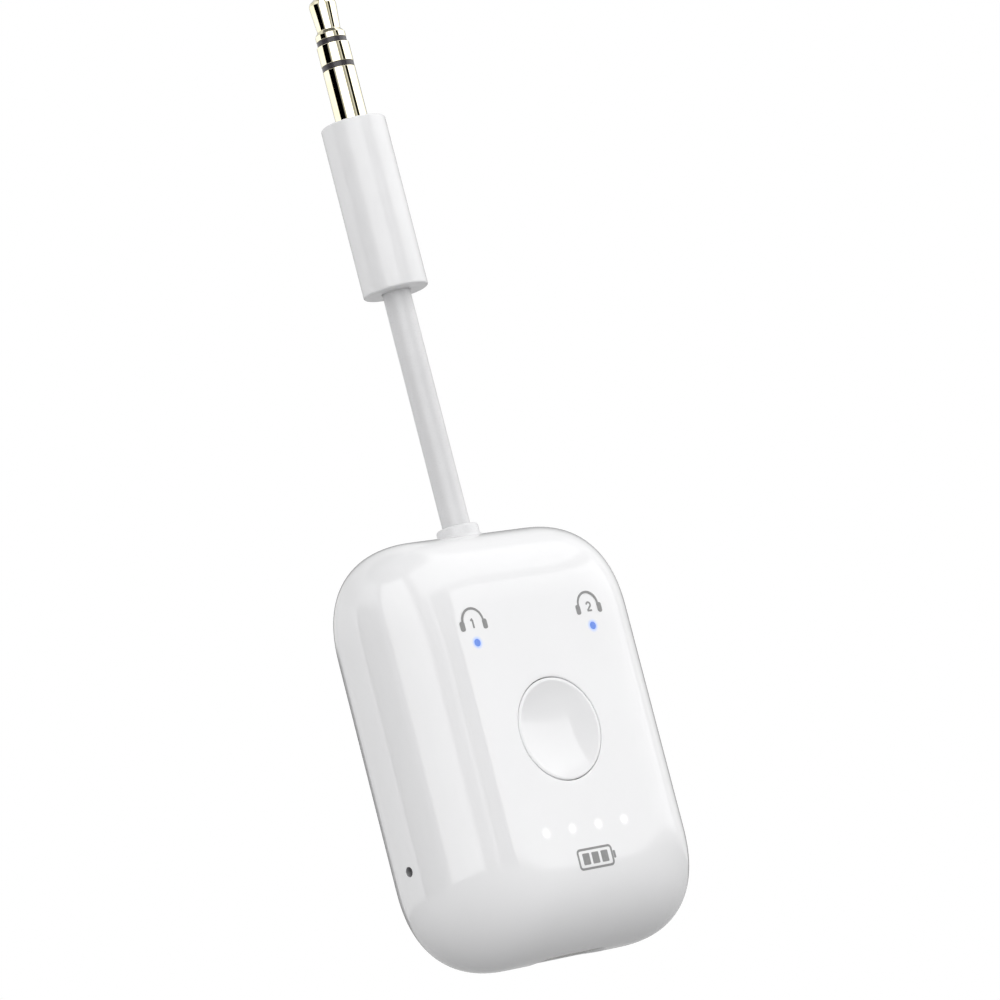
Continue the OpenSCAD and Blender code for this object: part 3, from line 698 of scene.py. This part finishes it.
buttonShape = dict(
    gap=0.08, rim=0.32, dishDepth=0.75, dishFillet=0.16, rimFillet=0.12,
    flangeFront=-6.45, flangeBack=-5.75, flangeRadius=6.3, flangeFillet=0.1,
    keyOut=0.6, keyIn=0.3, keyWidth=1.2, keyFillet=0.1, keyShy=0.02,
    postRadius=1.3, postFillet=0.1, skirt=0.9, capThickness=0.9, insideFillet=0.2,
)


# Cap with a dished face, a skirt with its flange, and a post behind that meets the switch. The dish is part of
# a ball whose radius is (edge ^ 2 + depth ^ 2) / (2 x depth)
def makeButton():
    b = buttonShape
    front, post = (corner[1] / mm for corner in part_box("mode_button"))
    radius = caseShape["buttonHole"] - b["gap"]
    edge = radius - b["rim"]
    ball = (edge ** 2 + b["dishDepth"] ** 2) / (2 * b["dishDepth"])
    reach = np.linspace(0, edge, 40)
    dish = front + b["dishDepth"] - ball + np.sqrt(ball ** 2 - reach ** 2)
    dish = front + (dish - dish[-1])
    inner, floor = radius - b["skirt"], front + b["dishDepth"] + b["capThickness"]
    corners = [(r, y, 0) for r, y in zip(reach[:-2], dish[:-2])] + [
        (edge, front, b["dishFillet"]), (radius, front, b["rimFillet"]), (radius, b["flangeFront"], 0),
        (b["flangeRadius"], b["flangeFront"], b["flangeFillet"]),
        (b["flangeRadius"], b["flangeBack"], b["flangeFillet"]), (inner, b["flangeBack"], b["flangeFillet"]),
        (inner, floor, b["insideFillet"]), (b["postRadius"], floor, b["insideFillet"]),
        (b["postRadius"], post, b["postFillet"]), (0, post, 0)]
    cap = turned(filleted(corners), "y", (0, 0, caseZ), 160)
    keyMiddle = b["flangeRadius"] + (b["keyOut"] - b["keyIn"]) / 2
    keyOutline = roundedRectangle((keyMiddle, caseZ), (b["keyOut"] + b["keyIn"], b["keyWidth"]), b["keyFillet"])
    key = slab(keyOutline, b["flangeFront"] + b["keyShy"], b["flangeBack"] - b["keyShy"])
    makePiece("buttonCap", [cap, key], finishes["gloss"], "button", ["mode_button"], 40)


switchDome = dict(wall=0.1, pressed=0.55)  # pressed is the share of its height left when the button is down


# Sprung steel disc of the switch: a cap of a ball with an even wall, flat at the rim, that the stem flattens
def makeSwitchDome():
    low, high = (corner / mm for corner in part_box("mode_switch_dome"))
    radius, height = high[0], high[1] - low[1]
    ball = (radius ** 2 + height ** 2) / (2 * height)

    # Arc of a ball about the same centre, as (across, along), from the axis to the plane of the rim
    def arc(size):
        angle = np.linspace(0, np.arccos((ball - height) / size), 20)
        return np.stack([size * np.sin(angle), low[1] + ball - size * np.cos(angle)], -1)

    profile = np.concatenate([arc(ball), arc(ball - switchDome["wall"])[::-1]])
    dome = makePiece("switchDome", [turned(profile, "y", (0, 0, caseZ), 48)], finishes["nickel"],
                     replaced=["mode_switch_dome"])
    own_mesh(dome)


makeButton()
makeSwitchDome()
print("button made")


# Pins with a lens tip a hair proud of the face, on a wider stem that reaches back to the lamps. The lens
# drops with the square of the distance from its middle
def guidePins(tip, inner, back, spots):
    stem, edge = lamps["stem"], lamps["stemEdge"]
    lens = [(tip * share, shellLow[1] - lamps["proud"] + lamps["lens"] * share ** 2, 0)
            for share in np.linspace(0, 1, 7)]
    profile = filleted([*lens, (tip, inner, 0), (stem, inner, edge), (stem, back, edge), (0, back, 0)])
    return [turned(profile, "y", (x, 0, caseZ + z), 40) for x, z in spots]


# Two pins for the link lamps, and four on one bar for the battery lamps
def makeLamps():
    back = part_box("link_light_guides")[1][1] / mm
    inner = shellLow[1] + caseShape["wall"] + lamps["seat"]
    pitch, bar = lamps["batteryPitch"], lamps["bar"]
    spots = [(side * lamps["linkX"], lamps["linkZ"]) for side in (-1, 1)]
    makePiece("linkLampGuides", guidePins(lamps["linkTip"], inner, back, spots), finishes["linkGuide"],
              replaced=["link_light_guides"])
    spots = [(k * pitch, lamps["batteryZ"]) for k in (-1.5, -0.5, 0.5, 1.5)]
    pins = guidePins(lamps["batteryTip"], inner, back, spots)
    bar = slab(roundedRectangle((0, caseZ + lamps["batteryZ"]), (3 * pitch + bar, bar), lamps["barCorner"]),
               inner, inner + lamps["barDepth"])
    makePiece("batteryLampGuide", [*pins, bar], finishes["batteryGuide"],
              replaced=["battery_light_guide"])


# Places are from the middle of the button, and the parts of a figure from its top or its foot
marks = dict(
    film=0.012, sunk=0.02, lift=0.003,    # out of the face, into it, and between inks that overlap
    phoneX=(-7.88, 8.06), phoneZ=12.0, phoneHalf=1.36, phoneRise=1.72, legs=0.35, legEnd=0.1, band=0.25,
    cup=(0.62, 1.05), cupOut=0.14, cupDrop=0.05, cupCorner=0.24,
    figureX=(-7.98, 8.08), figureZ=12.13, figureStroke=0.19, figureHeight=1.0,
    flag=[(-0.22, -0.2), (0.02, -0.02), (0.06, 0.0)], stemX=0.04, stemDrop=0.12, stemExtra=0.02,
    bow=0.27, bowDrop=0.03, bowTurn=(170, -25), foot=(-0.29, 0.33), footUp=0.08,
    cellX=0.3, cellZ=-13.75, cell=(4.6, 2.0), cellCorner=0.35, cellLine=0.24, cellBars=3,
    terminal=(0.3, 0.8), terminalOut=0.3, barMargin=0.8, barGap=0.32, smallCorner=0.1,
)
inkLow, inkHigh = -marks["film"], marks["sunk"]


# Depth y of the front face at a place on it: the rounded edge's superellipse, solved for the depth
def faceDepth(x, z):
    inset = np.minimum(halfX - np.abs(x), halfZ - np.abs(z))
    share = np.clip(1 - inset / caseShape["edgeInset"], 0, 1)
    return -halfY * (1 - share ** caseShape["edgePower"]) ** (1 / caseShape["edgePower"])


# Lays flat pieces of ink, made round y = 0, on the curve of the front face
def onFace(grids):
    laid = []
    for grid in grids:
        grid = grid.copy()
        grid[..., 1] += faceDepth(grid[..., 0], grid[..., 2])
        grid[..., 2] += caseZ
        laid.append(grid)
    return laid


# Pictogram of a pair of headphones: a band, half an ellipse on two short legs, over two rounded cups
def headphones(x):
    m, z = marks, marks["phoneZ"]
    half = m["phoneHalf"]
    band = arcPath((x, z + m["legs"]), (half, m["phoneRise"] - m["legs"]), 180, 0, 40)
    band = np.concatenate([[(x - half, z - m["legEnd"])], band, [(x + half, z - m["legEnd"])]])
    cups = [roundedRectangle((x + side * (half + m["cupOut"]), z - m["cupDrop"]), m["cup"], m["cupCorner"])
            for side in (-1, 1)]
    return [stroke(band, m["band"], inkLow, inkHigh)] + [slab(cup, inkLow - m["lift"], inkHigh) for cup in cups]


# Figure 1: a flag and an upright stem
def figureOne(x):
    m, half = marks, marks["figureHeight"] / 2
    top, foot = marks["figureZ"] + half, marks["figureZ"] - half
    stem = [(x + m["stemX"], top - m["stemDrop"]), (x + m["stemX"], foot)]
    return [stroke(np.array(m["flag"]) + (x, top), m["figureStroke"], inkLow, inkHigh),
            stroke(stem, m["figureStroke"] + m["stemExtra"], inkLow - m["lift"], inkHigh)]


# Figure 2: a bow, part of a circle, whose end runs down to the left end of a level foot
def figureTwo(x):
    m, half = marks, marks["figureHeight"] / 2
    bow = arcPath((x, m["figureZ"] + half - m["bow"] - m["bowDrop"]), (m["bow"], m["bow"]), *m["bowTurn"], 20)
    foot = [(x + end, m["figureZ"] - half + m["footUp"]) for end in m["foot"]]
    slope = np.linspace(bow[-1], foot[0], 6)[1:]
    return [stroke(np.concatenate([bow, slope]), m["figureStroke"], inkLow, inkHigh),
            stroke(foot, m["figureStroke"], inkLow - m["lift"], inkHigh)]


# Pictogram of a battery: a frame, its terminal and its charge bars
def batteryMark():
    m = marks
    (width, height), x, z = m["cell"], m["cellX"], m["cellZ"]
    frameLine = roundedRectangle((x, z), (width, height), m["cellCorner"], 8)
    terminal = roundedRectangle((x + width / 2 + m["terminalOut"], z), m["terminal"], m["smallCorner"])
    pitch = (width - m["barMargin"]) / m["cellBars"]
    barSize = (pitch - m["barGap"], height - m["barMargin"])
    bars = [roundedRectangle((x + (k - (m["cellBars"] - 1) / 2) * pitch, z), barSize, m["smallCorner"])
            for k in range(m["cellBars"])]
    line = stroke(frameLine, m["cellLine"], inkLow, inkHigh)
    return [line] + [slab(outline, inkLow, inkHigh) for outline in (terminal, *bars)]


makeLamps()
printed = dict(
    headphoneMarkOne=headphones(marks["phoneX"][0]) + figureOne(marks["figureX"][0]),
    headphoneMarkTwo=headphones(marks["phoneX"][1]) + figureTwo(marks["figureX"][1]),
    batteryMark=batteryMark(),
)
for name, grids in printed.items():
    makePiece(name, onFace(grids), finishes["ink"])
print("lamps and marks made")


# Drawn sleeve of the port: its wall's outline, shut at the back and with a rounded lip, carried round the slot
def makePort():
    mouth = shellLow[2] + port["mouthZ"]
    end, shut = mouth + port["length"], -port["height"] / 2
    wall, lip = port["wall"], port["lipRadius"]
    path = filleted([(0, mouth, lip), (0, end, 0), (shut, end, 0), (shut, end - wall, 0),
                     (-wall, end - wall, 0), (-wall, mouth, lip)])
    sleeve = obroundRings([*path, path[0]], capped=False)
    makePiece("portSleeve", [sleeve], finishes["nickel"], replaced=["usb_shell"])


gland = dict(
    radius=2.25, flangeRadius=3.1, flangeHeight=1.2, flangeFillet=0.1, bore=1.55, boreFillet=0.08, fillet=0.32,
    footOut=0.42, footUp=0.34, footIn=0.2, footSunk=0.015, footDeep=0.3, sides=96,
)


# Collar with a rounded rim, a flange inside the case, and a foot that sweeps into the curve of the top: a
# quarter circle, turned round the collar, whose height is measured from the curved top under it
def makeGland():
    g = gland
    low, top = (corner[2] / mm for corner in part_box("cord_gland"))
    step = low + g["flangeHeight"]
    collar = turned(filleted([(g["bore"], low, 0), (g["flangeRadius"], low, g["flangeFillet"]),
                              (g["flangeRadius"], step, g["flangeFillet"]), (g["radius"], step, 0),
                              (g["radius"], top, g["fillet"]), (g["bore"], top, g["boreFillet"])], closed=True))
    turn = np.linspace(0, np.pi / 2, 9)
    radius = np.append(g["radius"] + g["footOut"] * (1 - np.sin(turn)), g["radius"] - g["footIn"])
    rise = np.append(g["footUp"] * (1 - np.cos(turn)), g["footUp"])
    angle = np.arange(g["sides"] + 1) % g["sides"] * 2 * np.pi / g["sides"]
    x, y = radius[:, None] * np.cos(angle), radius[:, None] * np.sin(angle)
    ground = shellHigh[2] - edgeInset(y) - g["footSunk"]
    foot = np.stack([x, y, ground + rise[:, None]], -1)
    under = foot[[-1, 0]].copy()
    under[..., 2] = ground[[-1, 0]] - g["footDeep"]
    makePiece("cordGland", [collar, np.concatenate([foot, under, foot[:1]])], finishes["gland"],
              replaced=["cord_gland"], sharpAngle=50)


makePort()
makeGland()
print("port and gland made")


# Profiles turned round z, as corners (radius, z, fillet). The contacts and bands are nested tubes: each goes
# down inside the one before it to the core, and a band stays a hair short of its contacts
plug = dict(
    grip=[(1.55, -19.1, 0.08), (3.5, -19.1, 0.22), (3.5, -0.3, 0.22), (2.0, -0.3, 0.05), (2.0, -1.1, 0),
          (2.55, -1.1, 0), (2.55, -14, 0), (1.0, -14, 0), (1.0, -15, 0), (1.55, -15, 0)],
    sleeve=[(1.35, -2.5, 0), (2.45, -2.5, 0), (2.45, -1.1, 0), (1.95, -1.1, 0), (1.95, 0, 0.14),
            (1.75, 0, 0.03), (1.75, 5.75, 0.05), (1.35, 5.75, 0)],
    lowBand=[(1.05, -2.5, 0), (1.33, -2.5, 0), (1.33, 5.76, 0), (1.73, 5.76, 0), (1.73, 6.34, 0),
             (1.05, 6.34, 0)],
    ring=[(0.75, -4.5, 0), (1.03, -4.5, 0), (1.03, 6.35, 0), (1.75, 6.35, 0.05), (1.75, 8.5, 0.05),
          (0.75, 8.5, 0)],
    highBand=[(0.47, -4.5, 0), (0.73, -4.5, 0), (0.73, 8.51, 0), (1.6, 8.51, 0), (1.6, 9.09, 0),
              (0.47, 9.09, 0)],
    tip=[(0, -6, 0), (0.45, -6, 0), (0.45, 9.1, 0), (1.62, 9.1, 0.05), (1.62, 9.7, 0.08), (1.25, 10.15, 0.12),
         (1.47, 13.0, 0.3), (1.35, 13.35, 0.2), (0.6, 13.9, 0.15), (0.35, 14.0, 0.04), (0, 14.0, 0)],
    sides=96, gripSides=144,
)


# The grip and the plug's three contacts and two bands
def makePlug():
    parts = [
        ("plugGrip", "grip", "satin", "satin_white", "plug_handle"),
        ("plugSleeve", "sleeve", "gold", "gold_plate", "plug_sleeve"),
        ("plugBandLow", "lowBand", "band", "insulator", "plug_sleeve_insulator"),
        ("plugRing", "ring", "gold", "gold_plate", "plug_ring"),
        ("plugBandHigh", "highBand", "band", "insulator", "plug_ring_insulator"),
        ("plugTip", "tip", "gold", "gold_plate", "plug_tip"),
    ]
    pieces = []
    for name, profile, finish, slot, node in parts:
        path = filleted(plug[profile], closed=profile != "tip")
        grid = turned(path, sides=plug["gripSides" if profile == "grip" else "sides"])
        pieces.append(makePiece(name, [grid], finishes[finish], replaced=[node]))
    return pieces + [nodes["plug_core"], nodes["plug_wires"]]


plugPieces = makePlug()
print("plug made")


# Finishes of the parts inside, which keep their CAD shapes
inside = dict(
    board=["main_board", "battery_protection_board"],
    chip=["bluetooth_chip", "charger_chip", "memory_chip", "power_inductor", "resistors", "mode_switch_base",
          "mode_switch_plunger", "reset_switch_body", "reset_switch_plunger", "usb_tongue"],
    tin=["shield_can", "clock_crystal"],
    nickel=["board_screws", "mode_switch_frame"],
    contact=["usb_contacts"],
    capacitor=["capacitors"],
    alumina=["chip_antenna", "link_lamps", "battery_lamps"],
    nylon=["plug_core"],
    foil=["battery_cell"],
    foam=["foam_pad"],
    tape=["battery_tape"],
    wire=["battery_leads", "cord_wires", "plug_wires"],
)
for finish, names in inside.items():
    for name in names:
        for place in nodes[name].material_slots:
            place.material = finishes[finish]
print("inside finished:", sum(len(names) for names in inside.values()), "nodes")


# Light all round, as panels on the sky. Each panel has a level, a span of azimuth and of elevation in
# degrees and the softness of its edges; azimuth 0 is in front of the object and 90 at its right
studio = dict(
    base=0.595,
    panels=dict(
        leftSide=dict(level=1.27, across=(-175, -119), up=(-30, 60), soft=(6, 20)),
        behindCamera=dict(level=0.4, across=(-76, 3), up=(-30, 75), soft=(4, 20)),
        cameraBox=dict(level=2.35, across=(-66, -14), up=(-30, 60), soft=(8, 10)),
        frontRight=dict(level=2.08, across=(27.5, 86), up=(1, 26), soft=(2, 3)),
        highFront=dict(level=1.75, across=(0, 90), up=(33, 60), soft=(12, 4)),
        rightSide=dict(level=1.24, across=(86, 104), up=(1, 40), soft=(4, 4)),
        farRight=dict(level=0.75, across=(104, 130), up=(1, 40), soft=(8, 6)),
        overhead=dict(level=0.14, across=(-180, 180.01), up=(62, 91), soft=(0.1, 10)),
        highBack=dict(level=0.7, across=(130, 240), up=(30, 62), soft=(20, 16)),
        leftFlag=dict(level=0.0, across=(-120, -76), up=(-90, 34), soft=(4, 6)),
        frontFlag=dict(level=0.01, across=(8, 27.5), up=(-90, 30), soft=(3, 6)),
        backFlag=dict(level=0.15, across=(119, 158), up=(-22, 32), soft=(10, 12)),
        lowBackFlag=dict(level=0.05, across=(119, 172), up=(-90, 8), soft=(6, 3)),
    ),
    # The floor, in metres: its colour to the camera, and the ones it lights with near the object, where painted
    # shade makes it darker, and far off
    floorZ=-0.2, floorSize=6.0, floorTurn=(0.1, 0.45),
    floorSeen="#f2f2f2", floorShadeNear="#b0b0b0", floorFar="#d2d2d2",
)


# Sky of soft-edged boxes, each mixed over the ones before it by its mask
def makeSky():
    world = bpy.data.worlds.new("studioSky")
    bpy.context.scene.world = world
    world.use_nodes = True
    tree = world.node_tree
    tree.nodes.clear()
    ray = addNode(tree, "ShaderNodeTexCoord").outputs["Generated"]
    axes = addNode(tree, "ShaderNodeSeparateXYZ", {0: ray})
    away = calculate(tree, "MULTIPLY", axes.outputs["Y"], -1.0)
    azimuth = calculate(tree, "DEGREES", calculate(tree, "ARCTAN2", axes.outputs["X"], away))
    elevation = calculate(tree, "DEGREES", calculate(tree, "ARCSINE", axes.outputs["Z"]))

    # 1 inside a span and 0 outside it, with soft edges
    def within(value, span, soft, wrap=False):
        gap = calculate(tree, "SUBTRACT", value, (span[0] + span[1]) / 2)
        if wrap:
            gap = calculate(tree, "WRAP", gap, 180.0, -180.0)
        half = (span[1] - span[0]) / 2
        return spread(tree, calculate(tree, "ABSOLUTE", gap), 1, 0, half - soft / 2, half + soft / 2, True)

    # Metal shows the white background between the panels, and the camera and glass see it alone
    path = addNode(tree, "ShaderNodeLightPath").outputs
    level = spread(tree, path["Is Glossy Ray"], studio["base"], 1, 0, 1)
    for panel in studio["panels"].values():
        mask = calculate(tree, "MULTIPLY", within(azimuth, panel["across"], panel["soft"][0], True),
                         within(elevation, panel["up"], panel["soft"][1]))
        level = addNode(tree, "ShaderNodeMix", {"Factor": mask, 2: level, 3: panel["level"]}).outputs[0]
    clear = calculate(tree, "MAXIMUM", path["Is Camera Ray"], path["Is Transmission Ray"])
    level = addNode(tree, "ShaderNodeMix", {"Factor": clear, 2: level, 3: 1.0}).outputs[0]
    light = addNode(tree, "ShaderNodeBackground", {"Color": (1, 1, 1, 1), "Strength": level})
    addNode(tree, "ShaderNodeOutputWorld", {"Surface": light.outputs[0]})


# One square of paper below the object, darker round the foot: painted shade for the light it throws on the case
# from below
def makeFloor():
    half, z = studio["floorSize"] / 2, studio["floorZ"]
    corners = [(-half, -half, z), (half, -half, z), (half, half, z), (-half, half, z)]
    mesh = bpy.data.meshes.new("studioFloor")
    mesh.from_pydata(corners, [], [range(4)])
    floor = bpy.data.objects.new("studioFloor", mesh)
    bpy.context.collection.objects.link(floor)
    material, tree, shader = newMaterial("paper_roll", studio["floorSeen"], 0.9)
    seen = addNode(tree, "ShaderNodeLightPath").outputs["Is Camera Ray"]
    place = addNode(tree, "ShaderNodeTexCoord").outputs["Object"]
    reach = addNode(tree, "ShaderNodeVectorMath", {0: place, 1: (0, 0, z)}, operation="DISTANCE")
    away = spread(tree, reach.outputs["Value"], 0, 1, *studio["floorTurn"])
    # Painted shade: for light bounced onto the case, the paper is darker near the object
    lit = blendColours(tree, away, hexColor(studio["floorShadeNear"]), hexColor(studio["floorFar"]))
    tree.links.new(blendColours(tree, seen, lit, hexColor(studio["floorSeen"])), shader.inputs["Base Color"])
    mesh.materials.append(material)


makeSky()
makeFloor()
bpy.context.scene.view_settings.view_transform = "Standard"
print("studio made")

bpy.context.view_layer.update()
